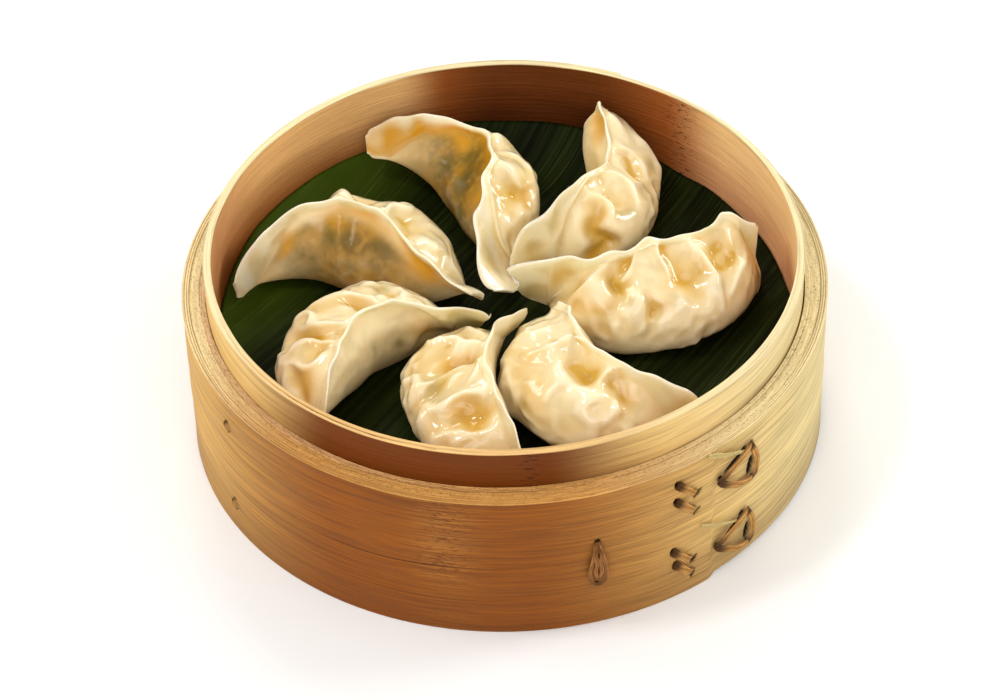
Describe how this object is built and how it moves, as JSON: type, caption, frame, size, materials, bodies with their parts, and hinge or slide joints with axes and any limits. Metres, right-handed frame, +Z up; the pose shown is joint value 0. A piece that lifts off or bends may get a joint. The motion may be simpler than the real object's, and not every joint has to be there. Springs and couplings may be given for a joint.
{
  "type": "gyoza dumplings in a bamboo steamer",
  "caption": "Round bamboo steamer basket, lined with a banana leaf, that holds pleated crescent gyoza laid out as a pinwheel.",
  "frame": {"origin": "centre of the circle that the basket stands on, at its lowest point", "axes": "+Z up, -Y towards the front, +X to the right; the cane ties are at the front right"},
  "size_m": [0.2, 0.2, 0.0668],
  "materials": {
    "bamboo_hoop": "smooth split bamboo with fine lengthwise grain, satin",
    "bamboo_core": "pale fibrous bamboo layers seen on edge, matt",
    "bamboo_slat": "split bamboo strips, matt",
    "banana_leaf": "dark green ribbed leaf with a moist gloss",
    "dough": "steamed wheat dough, translucent and wet, with the filling showing faintly through",
    "rattan": "split cane strands, dry and fibrous"
  },
  "bodies": {
    "root": {"outer_hoop": "bamboo_hoop", "inner_hoop": "bamboo_hoop", "floor_ring": "bamboo_hoop", "packing_hoop": "bamboo_core", "slat_1": "bamboo_slat", "slat_2": "bamboo_slat", "slat_3": "bamboo_slat", "slat_4": "bamboo_slat", "slat_5": "bamboo_slat", "slat_6": "bamboo_slat", "slat_7": "bamboo_slat", "slat_8": "bamboo_slat", "slat_9": "bamboo_slat", "slat_10": "bamboo_slat", "slat_11": "bamboo_slat", "slat_12": "bamboo_slat", "slat_13": "bamboo_slat", "slat_14": "bamboo_slat", "slat_15": "bamboo_slat", "cross_bar_1": "bamboo_slat", "cross_bar_2": "bamboo_slat", "cross_bar_3": "bamboo_slat", "banana_leaf": "banana_leaf", "gyoza_1": "dough", "gyoza_2": "dough", "gyoza_3": "dough", "gyoza_4": "dough", "gyoza_5": "dough", "gyoza_6": "dough", "gyoza_7": "dough", "tie_upper": "rattan", "tie_lower": "rattan", "stitch_1": "rattan", "stitch_2": "rattan", "stitch_3": "rattan", "stitch_4": "rattan", "loop_tie": "rattan", "sliver_upper": "rattan", "sliver_lower": "rattan", "peg_1": "rattan", "peg_2": "rattan"}
  },
  "joints": []
}
